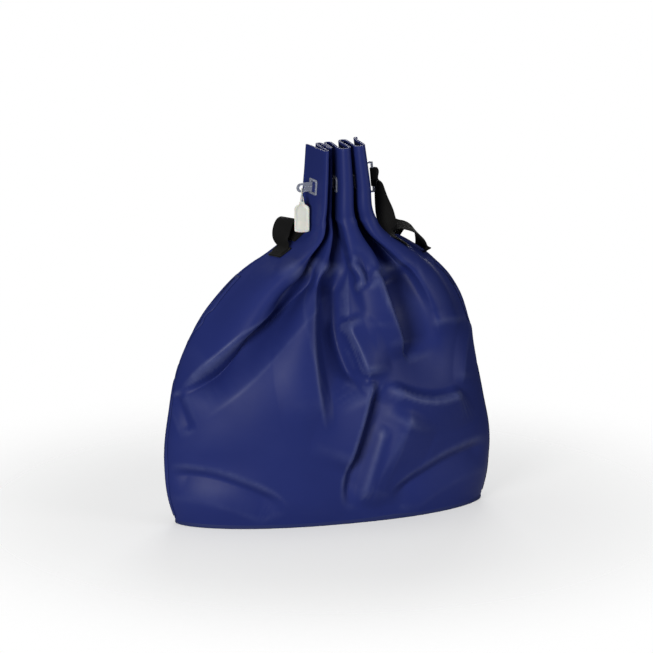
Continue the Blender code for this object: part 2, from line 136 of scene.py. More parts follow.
def make_sky(seen, cast):
    """A sky that is white behind the sack, and throws less light on it than it shows."""
    world = bpy.data.worlds.new("studio")
    bpy.context.scene.world = world
    world.use_nodes = True
    tree = world.node_tree
    sky = tree.nodes["Background"]
    sky.inputs["Color"].default_value = (1.0, 1.0, 1.0, 1.0)
    rays = tree.nodes.new("ShaderNodeLightPath")
    strength = tree.nodes.new("ShaderNodeMapRange")
    strength.inputs["To Min"].default_value = cast
    strength.inputs["To Max"].default_value = seen
    tree.links.new(rays.outputs["Is Camera Ray"], strength.inputs["Value"])
    tree.links.new(strength.outputs["Result"], sky.inputs["Strength"])


make_camera()
make_lamp("front_left", (-1.6, -1.8, 0.60), (0.9, 0.8), 46.0)
make_lamp("front_right", (1.7, -1.6, 0.7), (0.9, 0.9), 17.0)
make_lamp("above", (-0.2, 0.3, 2.6), (2.0, 2.0), 22.0)
make_lamp("behind", (0.9, 2.2, 1.1), (1.2, 1.2), 26.0)
make_floor()
make_sky(1.0, 0.06)
bpy.context.scene.view_settings.view_transform = "Standard"


# --- front and back sheets ------------------------------------------------------------
# Two coated sheets, welded together down their sides. From a flat base they swell over
# the load. Above it they are gathered into eight pressed folds, and the shoulders hang
# in creases that run out from the neck.
SHEET = 0.0010
MOUTH = 0.508
FOOT = 0.002
PANEL_GAP = 0.0009
BELLY_ROUNDING = 0.62
# Height, left edge, right edge, half depth, reach of the folds, how far it is gathered
STATIONS = np.array(
    (
        (FOOT, -0.2120, 0.2150, 0.0710, 0.0000, 0.00),
        (0.0300, -0.2210, 0.2225, 0.0800, 0.0000, 0.00),
        (0.0850, -0.2270, 0.2270, 0.0885, 0.0000, 0.00),
        (0.1500, -0.2210, 0.2170, 0.0900, 0.0000, 0.00),
        (0.2050, -0.2100, 0.2060, 0.0850, 0.0020, 0.04),
        (0.2500, -0.1900, 0.1970, 0.0760, 0.0050, 0.12),
        (0.2950, -0.1590, 0.1800, 0.0620, 0.0100, 0.28),
        (0.3350, -0.1150, 0.1480, 0.0440, 0.0160, 0.52),
        (0.3620, -0.0700, 0.1120, 0.0270, 0.0215, 0.78),
        (0.3850, -0.0380, 0.0765, 0.0110, 0.0260, 0.94),
        (0.4100, -0.0290, 0.0600, 0.0000, 0.0285, 1.00),
        (0.4500, -0.0245, 0.0540, 0.0000, 0.0290, 1.00),
        (MOUTH, -0.0210, 0.0455, 0.0000, 0.0290, 1.00),
    )
)
# The folds of the neck from left to right: each one's place and half width as shares of
# the neck's width, and how far it reaches back (or to the front, if less than zero)
NECK_FOLDS = (
    (0.000, 0.015, 1.0),
    (0.165, 0.028, -1.0),
    (0.220, 0.052, 0.95),
    (0.305, 0.018, -0.45),
    (0.400, 0.066, 0.85),
    (0.545, 0.112, -1.0),
    (0.700, 0.080, 0.85),
    (0.865, 0.100, -0.95),
    (1.000, 0.042, 0.9),
)
MOUTH_TRIM = 0.0025  # how far the mouth is below MOUTH at its right
MOUTH_FALL = 0.0060  # and how much lower it is at its left
TRIM_FROM = 0.456  # the rows above this height follow the mouth down
FINE = 1400  # points of the curve that a row is read from
COLUMNS = 280
ROWS = 158


def station(height):
    """Edges, depth, fold and gather at a height, read from smooth curves."""
    heights, values = STATIONS[:, 0], STATIONS[:, 1:]
    slopes = np.gradient(values, heights, axis=0)
    slopes[values == 0.0] = 0.0
    k = int(np.clip(np.searchsorted(heights, height) - 1, 0, len(heights) - 2))
    span = heights[k + 1] - heights[k]
    t = (height - heights[k]) / span
    start = (2 * t**3 - 3 * t**2 + 1) * values[k] + (t**3 - 2 * t**2 + t) * span * slopes[k]
    end = (3 * t**2 - 2 * t**3) * values[k + 1] + (t**3 - t**2) * span * slopes[k + 1]
    return start + end


def fold_line():
    """The neck's plan as control points: each one's share of the width and its reach."""
    points = []
    for k, (place, half, reach) in enumerate(NECK_FOLDS):
        start = place + half
        points += [(place - half, reach), (start, reach)]
        if k + 1 < len(NECK_FOLDS):
            place, half, beyond = NECK_FOLDS[k + 1]
            for share in (0.3, 0.7):
                across = start + (place - half - start) * share
                points.append((across, reach + (beyond - reach) * share))
    return np.array(points).T


FOLD_ACROSS, FOLD_REACH = fold_line()


def b_spline(control, share):
    """Points on a cubic B-spline that starts and ends on its first and last points."""
    control = np.array(control, float)
    padded = np.vstack([control[:1]] * 2 + [control] + [control[-1:]] * 2)
    spans = len(padded) - 3
    position = np.clip(share * spans, 0.0, spans - 1e-9)
    first = position.astype(int)
    t = (position - first)[:, None]
    weights = (
        (1 - t) ** 3,
        3 * t**3 - 6 * t**2 + 4,
        -3 * t**3 + 3 * t**2 + 3 * t + 1,
        t**3,
    )
    return sum(weight * padded[first + k] for k, weight in enumerate(weights)) / 6


def heading(curve):
    """The direction along a curve at each of its points, and square to it on the left."""
    run = np.gradient(curve, axis=0)
    run /= np.linalg.norm(run, axis=1)[:, None]
    return run, np.column_stack((-run[:, 1], run[:, 0]))


def plan(side, height):
    """A sheet's inner face at one height, from its left edge to its right. Side is -1 in
    front and 1 behind."""
    left, right, depth, reach, gather = station(height)
    spread = np.linspace(0.0, 1.0, len(FOLD_ACROSS))
    belly = 0.6 * spread + 0.2 * (1.0 - np.cos(math.pi * spread))
    across = belly + (FOLD_ACROSS - belly) * gather
    control = np.column_stack((left + (right - left) * across, reach * FOLD_REACH))
    centre = b_spline(control, np.linspace(0.0, 1.0, FINE + 1))
    turn = float(np.clip((0.0035 - depth) / 0.0030, 0.0, 1.0))
    away = heading(centre)[1] * turn + np.array((0.0, 1.0)) * (1.0 - turn)
    away /= np.linalg.norm(away, axis=1)[:, None]
    swell = np.clip((centre[:, 0] - left) / (right - left), 0.0, 1.0) * 2.0 - 1.0
    swell = np.clip(1.0 - np.abs(swell) ** 2.2, 0.0, 1.0) ** BELLY_ROUNDING
    return centre + side * away * (PANEL_GAP / 2 + depth * swell)[:, None]


def sheet_rows(side):
    """The smooth sheet as an array of rows, before its creases."""
    fine = np.linspace(0.0, 1.0, FINE + 1)
    shares = np.linspace(0.0, 1.0, COLUMNS + 1)
    left, right = STATIONS[-1, 1:3]
    rows = []
    for height in HEIGHTS:
        curve = plan(side, height)
        x, y = (np.interp(shares, fine, curve[:, axis]) for axis in (0, 1))
        rise = np.clip((height - TRIM_FROM) / (MOUTH - TRIM_FROM), 0.0, 1.0)
        slope = np.clip((right - x) / (right - left), 0.0, 1.0)
        rows.append(np.column_stack((x, y, height - rise * (MOUTH_TRIM + MOUTH_FALL * slope))))
    return np.array(rows)


def outward(rows, side):
    """The direction out of the sheet at each point of its rows."""
    along = np.gradient(rows, axis=1)
    climb = np.gradient(rows, axis=0)
    out = np.cross(along, climb) * -side
    return out / np.maximum(np.linalg.norm(out, axis=2), 1e-12)[:, :, None]


HEIGHTS = np.linspace(FOOT, MOUTH, ROWS + 1)

# Creases, in millimetres: how far each stands out (or in, if it is less than zero), how
# far it spreads to the left and to the right of its line, how round its crest is, and
# the line. Across and up are measured in the plane that faces the camera.
FRONT_CREASES = (
    # from the root of the neck down to the left edge: a sharp brow over a wide valley
    (10, 46, 9, 0.8, ((-8, 346), (-36, 327), (-78, 275), (-122, 227), (-160, 194), (-201, 163))),
    (-22, 8, 40, 1.2, ((-4, 336), (-32, 316), (-72, 262), (-116, 214), (-154, 181), (-196, 152))),
    # brow at the left of the dark hollow, and the hollow itself
    (11, 54, 16, 1.0, ((2, 345), (-14, 312), (-20, 270), (-21, 215), (-15, 160), (-2, 100))),
    (-20, 40, 12, 3.0, ((12, 330), (10, 300), (12, 250), (20, 215), (34, 175), (50, 150))),
    # crumple below the middle fold
    (5, 9, 6, 0.8, ((18, 370), (27, 346), (36, 340), (32, 330), (46, 316), (46, 305), (38, 290))),
    (-6, 8, 10, 1.0, ((30, 362), (41, 348), (53, 322), (53, 298))),
    # bright facet, and the brow that runs down to the left from its foot
    (12, 8, 34, 0.8, ((20, 258), (33, 234), (46, 208), (56, 172))),
    (2, 26, 26, 3.0, ((66, 262), (63, 220), (57, 176))),
    (12, 55, 9, 1.0, ((60, 182), (48, 138), (33, 92), (20, 50))),
    (-12, 8, 46, 1.5, ((64, 172), (54, 128), (41, 80), (26, 42), (28, 4))),
    # right of the neck: a brow with a dark valley on its right
    (11, 36, 8, 0.8, ((60, 326), (72, 292), (88, 248), (105, 206))),
    (-18, 7, 46, 1.0, ((70, 326), (84, 288), (99, 245), (114, 200))),
    # facet at the right, whose lower edge curves back to the left
    (4, 12, 20, 1.0, ((189, 262), (185, 215), (178, 164))),
    (12, 12, 44, 0.8, ((180, 164), (165, 153), (140, 148), (108, 152), (74, 170))),
    (3, 14, 20, 1.0, ((188, 258), (165, 257), (136, 250))),
    # lit folds of the right belly
    (11, 30, 40, 4, ((110, 140), (88, 95), (64, 45), (46, 4))),
    (4, 9, 9, 2.0, ((74, 120), (58, 62), (41, 8))),
    # near the floor
    (-7, 30, 12, 1.5, ((-216, 50), (-168, 48), (-112, 32), (-68, 12), (-62, -4))),
    (-7, 12, 30, 1.5, ((218, 90), (172, 75), (126, 50), (92, 22), (86, 8))),
    # the left edge
    (-4, 12, 12, 1.2, ((-204, 158), (-190, 128), (-183, 106))),
)
BACK_CREASES = (
    (-12, 30, 24, 3.0, ((6, 340), (40, 312), (86, 262), (140, 206), (196, 160))),
    (9, 26, 20, 3.5, ((0, 342), (14, 300), (22, 250), (26, 190), (12, 120))),
    (-11, 22, 26, 4.0, ((-12, 332), (-8, 285), (-14, 235), (-28, 180))),
    (8, 24, 14, 2.0, ((-40, 320), (-66, 280), (-92, 230), (-116, 185))),
    (-10, 14, 28, 2.5, ((-46, 326), (-76, 280), (-104, 228), (-132, 176))),
    (6, 20, 20, 2.0, ((-20, 190), (-36, 140), (-50, 80), (-54, 30))),
    (6, 22, 16, 2.0, ((66, 215), (58, 160), (64, 110), (80, 50))),
    (-7, 30, 30, 10, ((110, 200), (120, 150), (112, 100))),
    (4, 24, 14, 2.0, ((150, 236), (156, 190), (150, 150), (126, 130), (92, 132))),
    (4, 12, 24, 2.5, ((-214, 70), (-160, 58), (-110, 34), (-84, 6))),
    (4, 12, 24, 2.5, ((214, 60), (160, 52), (108, 30), (84, 4))),
)


def steps_along(path):
    return np.linalg.norm(np.diff(path, axis=0), axis=1)


def crease(place, depth, left, right, crest, line):
    """How far one crease moves each point. Place is across and up, in millimetres."""
    path = b_spline(line, np.linspace(0.0, 1.0, 28))
    lengths = np.concatenate(([0.0], np.cumsum(steps_along(path))))
    near = np.full(place.shape[:2], 1e9)
    hand = np.zeros_like(near)
    gone = np.zeros_like(near)
    for k, (a, b) in enumerate(zip(path, path[1:])):
        run = b - a
        span = max(float(run @ run), 1e-12)
        t = np.clip(((place - a) @ run) / span, 0.0, 1.0)
        off = place - (a + t[..., None] * run)
        far = np.linalg.norm(off, axis=2)
        closer = far < near
        near = np.where(closer, far, near)
        hand = np.where(closer, run[0] * off[..., 1] - run[1] * off[..., 0], hand)
        gone = np.where(closer, lengths[k] + t * (lengths[k + 1] - lengths[k]), gone)
    reach = np.where(hand > 0.0, right, left)
    soft = np.sqrt(near**2 + crest**2) - crest
    slope = np.clip(1.0 - soft / reach, 0.0, 1.0)
    share = gone / lengths[-1]
    ends = np.clip(share / 0.16, 0.0, 1.0) * np.clip((1.0 - share) / 0.22, 0.0, 1.0)
    ends = ends * ends * (3.0 - 2.0 * ends)
    return depth * slope**1.25 * ends


# Broad swells and hollows of the front, in millimetres: how far each stands out, its
# middle across and up, and its half width and height
FRONT_SWELLS = (
    (6, -70, 150, 75, 70),
    (-9, 8, 200, 30, 70),
    (-10, 130, 215, 46, 44),
    (7, 105, 110, 60, 60),
    (-6, 80, 30, 26, 40),
    (-5, -150, 60, 60, 26),
)
BACK_SWELLS = (
    (5, 70, 130, 70, 80),
    (-7, -10, 220, 34, 60),
    (6, -90, 120, 70, 70),
)


def relief(rows, side, creases, swells):
    """How far the creases move each point of a sheet out, in metres."""
    across = np.array(ACROSS) if side < 0 else np.array((1.0, 0.0, 0.0))
    upward = np.array(UPWARD) if side < 0 else np.array((0.0, 0.0, 1.0))
    place = np.stack((rows @ across, rows @ upward), axis=-1) * 1000.0
    moved = sum(crease(place, *each) for each in creases)
    for out, x, y, wide, tall in swells:
        away = ((place[..., 0] - x) / wide) ** 2 + ((place[..., 1] - y) / tall) ** 2
        moved = moved + out * np.exp(-away)
    height = rows[:, :, 2]
    share = np.linspace(0.0, 1.0, COLUMNS + 1)[None, :]
    gathered = np.clip((0.372 - height) / 0.035, 0.0, 1.0)
    floor = np.clip((height - FOOT) / 0.020, 0.0, 1.0)
    seam = np.clip(np.minimum(share, 1.0 - share) / 0.035, 0.0, 1.0)
    hold = gathered * gathered * (3 - 2 * gathered) * floor * seam * seam * (3 - 2 * seam)
    slack = np.array([[noise.noise(Vector(p) * 22.0) for p in row] for row in rows])
    return (moved + 0.6 * slack) * 0.001 * hold


def formed_sheet(side, creases, swells):
    smooth = sheet_rows(side)
    shift = relief(smooth, side, creases, swells)
    return smooth + outward(smooth, side) * shift[:, :, None], shift


def new_piece(name, vertices, faces, finish):
    """A smooth-shaded object in one finish, at the origin."""
    data = bpy.data.meshes.new(name)
    data.from_pydata([tuple(v) for v in vertices], [], faces)
    data.materials.append(finish)
    for face in data.polygons:
        face.use_smooth = True
    data.update()
    made = placed(name, data)
    return made


def grid_faces(rows, columns, turned=False, around=False):
    """Quads over a grid of points. Turned reverses them; around joins last to first."""
    faces = []
    wide = columns if around else columns - 1
    for r in range(rows - 1):
        for c in range(wide):
            after = (c + 1) % columns
            face = (
                r * columns + c,
                r * columns + after,
                (r + 1) * columns + after,
                (r + 1) * columns + c,
            )
            faces.append(face[::-1] if turned else face)
    return faces


def solidify(piece, thickness, offset):
    """Give a sheet its thickness: outwards at offset 1, to both sides at 0."""
    shell = piece.modifiers.new("thickness", "SOLIDIFY")
    shell.thickness = thickness
    shell.offset = offset
    shell.use_even_offset = False


def add_attribute(piece, name, values):
    """A number for each point of a piece, for its material to read."""
    layer = piece.data.attributes.new(name, "FLOAT", "POINT")
    layer.data.foreach_set("value", np.asarray(values, np.float32).ravel())


class Socket:
    """An output of a shader node that can be used in sums."""

    def __init__(self, paint, out):
        self.paint, self.out = paint, out

    def maths(self, operation, a, b):
        return self.paint.node("ShaderNodeMath", {"operation": operation}, {0: a, 1: b})

    def __add__(self, other):
        return self.maths("ADD", self, other)

    def __sub__(self, other):
        return self.maths("SUBTRACT", self, other)

    def __mul__(self, other):
        return self.maths("MULTIPLY", self, other)

    def limited(self):
        return self.paint.node("ShaderNodeClamp", {}, {"Value": self, "Min": 0.0, "Max": 1.0})

    __radd__ = __add__
    __rmul__ = __mul__


class Paint:
    """A material and its nodes."""

    def __init__(self, name, **constants):
        self.material = bpy.data.materials.new(name)
        self.material.use_nodes = True
        self.tree = self.material.node_tree
        self.shader = self.tree.nodes["Principled BSDF"]
        for socket, value in constants.items():
            self.shader.inputs[socket.replace("_", " ")].default_value = value

    def node(self, kind, settings, inputs, out=0):
        made = self.tree.nodes.new(kind)
        for name, value in settings.items():
            setattr(made, name, value)
        for name, value in inputs.items():
            if isinstance(value, Socket):
                self.tree.links.new(value.out, made.inputs[name])
            else:
                made.inputs[name].default_value = value
        return Socket(self, made.outputs[out])

    def feed(self, **links):
        for name, value in links.items():
            self.tree.links.new(value.out, self.shader.inputs[name.replace("_", " ")])

    def object_place(self):
        return self.node("ShaderNodeTexCoord", {}, {}, out="Object")

    def noise(self, scale, detail, roughness):
        inputs = {"Scale": scale, "Detail": detail, "Roughness": roughness}
        inputs["Vector"] = self.object_place()
        return self.node("ShaderNodeTexNoise", {}, inputs)

    def attribute(self, name):
        return self.node("ShaderNodeAttribute", {"attribute_name": name}, {}, out="Fac")

    def mixed(self, share, a, b):
        """A colour between a and b. A Mix node's colour sockets are its inputs 6 and 7."""
        a, b = (c if isinstance(c, Socket) else (*c, 1.0) for c in (a, b))
        inputs = {0: share, 6: a, 7: b}
        return self.node("ShaderNodeMix", {"data_type": "RGBA"}, inputs, out=2)

    def bump(self, height, distance, strength=1.0):
        inputs = {"Height": height, "Distance": distance, "Strength": strength}
        return self.node("ShaderNodeBump", {}, inputs)


def coated_sheet():
    """Dark blue coating over a woven base: a fine grain, faint clouding, and paler crests."""
    paint = Paint("vinyl", Specular_IOR_Level=0.13)
    clouds = paint.noise(9.0, 4.0, 0.55)
    scuffs = paint.noise(55.0, 5.0, 0.6)
    crest = paint.attribute("crest")
    blue = paint.mixed(clouds, (0.0135, 0.0215, 0.1200), (0.0190, 0.0300, 0.1600))
    worn = (crest * scuffs * 1.3).limited()
    blue = paint.mixed(worn, blue, (0.060, 0.075, 0.200))
    # mixed towards a dark grey: fully on the backings inside the sack, and a third of the way on
    # the base, where it is painted shade under the sack
    inside = paint.attribute("inner")
    blue = paint.mixed(inside, blue, (0.020, 0.026, 0.050))
    grain = paint.node(
        "ShaderNodeTexVoronoi",
        {"feature": "SMOOTH_F1"},
        {"Vector": paint.object_place(), "Scale": 1500.0},
    )
    pores = paint.noise(900.0, 2.0, 0.6)
    ripple = paint.noise(70.0, 3.0, 0.5)
    height = grain * 0.00005 + pores * 0.00005 + ripple * 0.00022
    paint.feed(
        Base_Color=blue,
        Roughness=0.42 + scuffs * 0.10 + inside * 0.25 - crest * 0.04,
        Normal=paint.bump(height, 1.0, 0.7),
    )
    return paint.material


VINYL = coated_sheet()


def crests(shift):
    """Where a sheet bends outwards most sharply, from 0 to 1."""
    around = sum(np.roll(shift, s, axis=a) for a in (0, 1) for s in (-2, 2)) / 4.0
    return np.clip((shift - around) / 0.0009, 0.0, 1.0)


def make_sheet(name, side, creases, swells, node):
    """One creased sheet. Its rows come back, for the pieces that are fixed to it."""
    rows, shift = formed_sheet(side, creases, swells)
    size = (ROWS + 1, COLUMNS + 1)
    faces = grid_faces(*size, turned=side > 0)
    piece = new_piece(name, rows.reshape(-1, 3), faces, VINYL)
    add_attribute(piece, "crest", crests(shift))
    add_attribute(piece, "inner", np.zeros(size))
    solidify(piece, SHEET, 1.0)
    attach(piece, "bag")
    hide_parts(node)
    return rows


FRONT = make_sheet("front_sheet", -1, FRONT_CREASES, FRONT_SWELLS, "front_panel")
BEHIND = make_sheet("back_sheet", 1, BACK_CREASES, BACK_SWELLS, "back_panel")


# --- base and welds -------------------------------------------------------------------
# The base is one oval of the same sheet, welded to the foot of both sheets along a
# narrow lap. A flat tape of sheet covers the weld down each side of the sack.
LAP_HEIGHT = 0.0085
LAP_THICKNESS = 0.0007
TAPE_WIDTH = 0.014
TAPE_THICKNESS = 0.0005
TAPE_RUN = (0.012, 0.330)  # from above the base to below the handles
TAPE_ROWS = 84
WIDTH_ROUNDS = 6  # rounds in which a tape's width on the sheet is found
WELD_GAP = 0.0006  # from a sheet's face to the middle of what is welded or sewn to it


def ground(side, share, height):
    """A point on a creased sheet's inner face, and the way out of the sheet there."""
    rows, out = (FRONT, FRONT_OUT) if side < 0 else (BEHIND, BEHIND_OUT)
    c = np.clip(share, 0.0, 1.0) * COLUMNS
    r = np.clip((height - FOOT) / (MOUTH - FOOT), 0.0, 1.0) * ROWS
    c0, r0 = min(int(c), COLUMNS - 1), min(int(r), ROWS - 1)
    u, v = c - c0, r - r0
    found = []
    for grid in (rows, out):
        low = grid[r0, c0] * (1 - u) + grid[r0, c0 + 1] * u
        high = grid[r0 + 1, c0] * (1 - u) + grid[r0 + 1, c0 + 1] * u
        found.append(Vector(low * (1 - v) + high * v))
    return found[0], found[1].normalized()


def above(side, share, height, lift):
    """A point lift above a sheet's outer face."""
    point, out = ground(side, share, height)
    return point + out * (SHEET + lift)


FRONT_OUT, BEHIND_OUT = outward(FRONT, -1), outward(BEHIND, 1)


def face_outwards(piece, merged=0.0):
    """Turn all faces out. Points closer than merged are made one first."""
    bm = bmesh.new()
    bm.from_mesh(piece.data)
    if merged:
        bmesh.ops.remove_doubles(bm, verts=bm.verts, dist=merged)
    bmesh.ops.recalc_face_normals(bm, faces=bm.faces)
    bm.to_mesh(piece.data)
    bm.free()
    return piece


def make_base():
    """A domed cap under the foot, turned up at its edge into the lap."""
    shares = np.linspace(0.0, 1.0, 97)
    front = [above(-1, s, FOOT + 0.001, 0.0) for s in shares]
    back = [above(1, s, FOOT + 0.001, 0.0) for s in shares]
    ring = np.array([tuple(p) for p in front + back[-2:0:-1]])
    away = ring[:, :2] - ring[:, :2].mean(axis=0)
    away /= np.linalg.norm(away, axis=1)[:, None]
    rows = []
    steps = ((0.0006, LAP_HEIGHT), (0.0007, 0.0045), (0.0008, 0.0022), (0.0004, 0.0011))
    for push, height in steps + ((-0.0012, 0.0004), (-0.004, 0.0003), (-0.02, 0.0003)):
        row = ring.copy()
        row[:, :2] += away * push
        row[:, 2] = height
        rows.append(row)
    inner = rows[-1]
    hub_place = inner.mean(axis=0)
    for shrink in (0.8, 0.5, 0.2):
        rows.append(hub_place + (inner - hub_place) * shrink)
    count = len(ring)
    points = np.vstack(rows + [hub_place[None, :]])
    faces = grid_faces(len(rows), count, around=True)
    last, hub = (len(rows) - 1) * count, len(points) - 1
    faces += [(last + k, last + (k + 1) % count, hub) for k in range(count)]
    piece = face_outwards(new_piece("base_sheet", points, faces, VINYL))
    add_attribute(piece, "crest", np.where(points[:, 2] > 0.0035, 0.0, 0.25))
    # a third of the way to the dark grey: painted shade under the sack along its foot
    add_attribute(piece, "inner", np.full(len(points), 0.35))
    solidify(piece, LAP_THICKNESS, 0.0)
    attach(piece, "bag")
    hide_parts("base_panel")


make_base()


def strip(name, rows, thickness, finish):
    """A thin closed strip whose middle runs through rows of points."""
    points = [p for row in rows for p in row]
    piece = new_piece(name, points, grid_faces(len(rows), len(rows[0])), finish)
    solidify(piece, thickness, 0.0)
    return piece


def tape_row(edge, height, reach):
    """Points across a tape, from the front sheet round the edge to the back sheet."""
    row = []
    for offset in np.linspace(-1.0, 1.0, 13):
        share = reach * abs(offset) if edge < 0.5 else 1.0 - reach * abs(offset)
        row.append(above(-1 if offset < 0 else 1, share, height, WELD_GAP))
    return row


def row_length(row):
    return sum((a - b).length for a, b in zip(row, row[1:]))


def seam_tape(name, edge):
    """A tape folded round the sheets' shared edge, from above the base to the neck."""
    rows = []
    for height in np.linspace(*TAPE_RUN, TAPE_ROWS):
        reach = 0.01
        for _ in range(WIDTH_ROUNDS):
            reach *= TAPE_WIDTH / row_length(tape_row(edge, height, reach))
            reach = min(reach, 0.05)
        rows.append(tape_row(edge, height, reach))
    piece = strip(name, rows, TAPE_THICKNESS, VINYL)
    add_attribute(piece, "crest", np.full(len(piece.data.vertices), 0.10))
    add_attribute(piece, "inner", np.zeros(len(piece.data.vertices)))
    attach(piece, "bag")
    tall = row_length([row[6] for row in rows])


seam_tape("left_seam_tape", 0.0)
seam_tape("right_seam_tape", 1.0)


# --- slot plates ----------------------------------------------------------------------
# Sixteen thin frames of clear plastic, one welded on each side of every fold, so that
# the slots in the coated sheet don't tear when the blade is pushed through them.
BLADE_CENTRE = Vector((0.0120, 0.0060, 0.4500))
BLADE_TILT = math.radians(5.0)
PLATE_SIZE = (0.0230, 0.0205)
PLATE_THICKNESS = 0.0007
PLATE_CORNER = 0.0028
SLOT_SIZE = (0.0150, 0.0142)
SLOT_CORNER = 0.0012
SLOT_SHIFT = 0.0020  # the slots lie this far behind the middle of the neck
SLOT_LIP = 0.0003


def clear_plastic():
    paint = Paint(
        "clear_plastic",
        Transmission_Weight=0.55,
        IOR=1.46,
        Specular_IOR_Level=0.5,
    )
    haze = paint.noise(160.0, 3.0, 0.6)
    streaks = paint.noise(700.0, 2.0, 0.5)
    colour = paint.mixed(haze, (0.42, 0.45, 0.58), (0.60, 0.63, 0.72))
    rough = haze * 0.16 + 0.18
    paint.feed(Base_Color=colour, Roughness=rough, Normal=paint.bump(streaks, 0.00005))
    return paint.material


CLEAR = clear_plastic()


def rounded_ring(size, corner, steps=5):
    """The corners of a rounded rectangle, anticlockwise, as (x, y)."""
    x, y = size[0] / 2 - corner, size[1] / 2 - corner
    points = []
    for quarter, (cx, cy) in enumerate(((x, y), (-x, y), (-x, -y), (x, -y))):
        for k in range(steps):
            turn = math.radians(90) * (quarter + k / (steps - 1))
            points.append((cx + corner * math.cos(turn), cy + corner * math.sin(turn)))
    return points


def lathe_rings(rings):
    """Faces between closed rings of points that follow each other round a section."""
    count = len(rings[0])
    faces = []
    for k in range(len(rings)):
        after = (k + 1) % len(rings)
        for c in range(count):
            d = (c + 1) % count
            faces.append((k * count + c, k * count + d, after * count + d, after * count + c))
    return faces


def recalculated(piece):
    """Close a shell's seams, then turn its faces out."""
    return face_outwards(piece, merged=1e-7)


def framed_hole(name, outer, inner, thickness, rim, finish):
    """A flat frame with softened edges and a low lip round its hole."""
    half = thickness / 2
    soft = 0.0002
    rings = []
    for ring, grow, z in (
        (outer, 0.0, -half),
        (outer, soft, -half + soft),
        (outer, soft, half - soft),
        (outer, 0.0, half),
        (inner, rim + soft, half),
        (inner, rim, half + SLOT_LIP),
        (inner, soft, half + SLOT_LIP),
        (inner, 0.0, half),
        (inner, 0.0, -half),
    ):
        size, corner = ring
        wider = (size[0] + 2 * grow, size[1] + 2 * grow)
        rings.append([(x, y, z) for x, y in rounded_ring(wider, corner + grow)])
    points = [p for ring in rings for p in ring]
    return recalculated(new_piece(name, points, lathe_rings(rings), finish))


def settle(piece, place):
    """Put a piece's place into its mesh."""
    piece.data.transform(place)
    piece.data.update()


def seat(side, share, height, lift):
    """A frame on a sheet's outer face: X along the row, Y up the sheet, Z straight out."""
    middle = above(side, share, height, lift)
    along = above(side, share + 0.006, height, lift) - above(side, share - 0.006, height, lift)
    climb = above(side, share, height + 0.004, lift) - above(side, share, height - 0.004, lift)
    along.normalize()
    out = along.cross(climb).normalized() * -side
    made = Matrix((along, out.cross(along), out)).transposed().to_4x4()
    made.translation = middle
    return made


def slot_plate(side, layer):
    word = "front" if side < 0 else "back"
    name = f"slot_plate_{word}_{layer + 1}"
    share = (4 * layer + 3.5) / (len(FOLD_ACROSS) + 1)
    across = ground(side, share, BLADE_CENTRE.z)[0].x - BLADE_CENTRE.x
    height = BLADE_CENTRE.z + across * math.tan(BLADE_TILT)
    place = seat(side, share, height, 0.0002 + PLATE_THICKNESS / 2)
    shift = SLOT_SHIFT if place.col[0].y > 0 else -SLOT_SHIFT
    outer, inner = (PLATE_SIZE, PLATE_CORNER), (SLOT_SIZE, SLOT_CORNER)
    piece = framed_hole(name + "_frame", outer, inner, PLATE_THICKNESS, 0.0012, CLEAR)
    settle(piece, place @ Matrix.Translation((shift, 0.0, 0.0)))
    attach(piece, "bag")
    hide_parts(name)


for layer in range(len(NECK_FOLDS) - 1):
    slot_plate(-1, layer)
    slot_plate(1, layer)


# --- closure blade --------------------------------------------------------------------
# One moulding of stiff clear plastic. Its nose, with a hole for the seal, is pushed
# through all the slots from the right until the square ring at its other end stops it.
BLADE_HEIGHT = 0.0125
BLADE_THICKNESS = 0.0024
BLADE_NOSE = -0.0545
BLADE_SHOULDER = 0.0425
NOSE_HOLE = -0.0475
NOSE_HOLE_RADIUS = 0.0034
RING_HEIGHT = 0.0430
RING_BAR = 0.0030
RING_SLOT = 0.0050
BLADE_EDGE = 0.0005
SPINE_SIZE = (0.072, 0.0016)
SPINE_BACK = 0.045  # the spine's middle lies this far from the shoulder
SPINE_HEIGHT = 0.0004


def blade_matrix():
    """Stands a plate that is drawn in the XY plane upright in the blade's place."""
    tilt = Matrix.Rotation(-BLADE_TILT, 4, "Y")
    return Matrix.Translation(BLADE_CENTRE) @ tilt @ Matrix.Rotation(math.radians(90), 4, "X")


def blade_point(x, y, z):
    """A point given along, behind and above the tilted blade."""
    return BLADE_CENTRE + Matrix.Rotation(-BLADE_TILT, 3, "Y") @ Vector((x, y, z))


def plate_with_holes(name, loops, half, edge, finish):
    """A flat plate with softened edges, from its outline and its holes' outlines."""
    curve = bpy.data.curves.new(name + "_outline", "CURVE")
    curve.dimensions = "2D"
    curve.fill_mode = "BOTH"
    curve.extrude = half - edge
    curve.bevel_depth = edge
    curve.bevel_resolution = 2
    curve.offset = -edge
    for points in loops:
        line = curve.splines.new("POLY")
        line.points.add(len(points) - 1)
        for spot, (x, y) in zip(line.points, points):
            spot.co = (x, y, 0.0, 1.0)
        line.use_cyclic_u = True
    source = placed(name + "_curve", curve)
    data = bpy.data.meshes.new_from_object(
        source.evaluated_get(bpy.context.evaluated_depsgraph_get())
    )
    bpy.data.objects.remove(source)
    bpy.data.curves.remove(curve)
    data.name = name
    data.materials.clear()
    data.materials.append(finish)
    made = placed(name, data)
    return recalculated(made)


def arc(x, y, radius, start, end, steps):
    turns = [math.radians(start + (end - start) * k / (steps - 1)) for k in range(steps)]
    return [(x + radius * math.cos(t), y + radius * math.sin(t)) for t in turns]


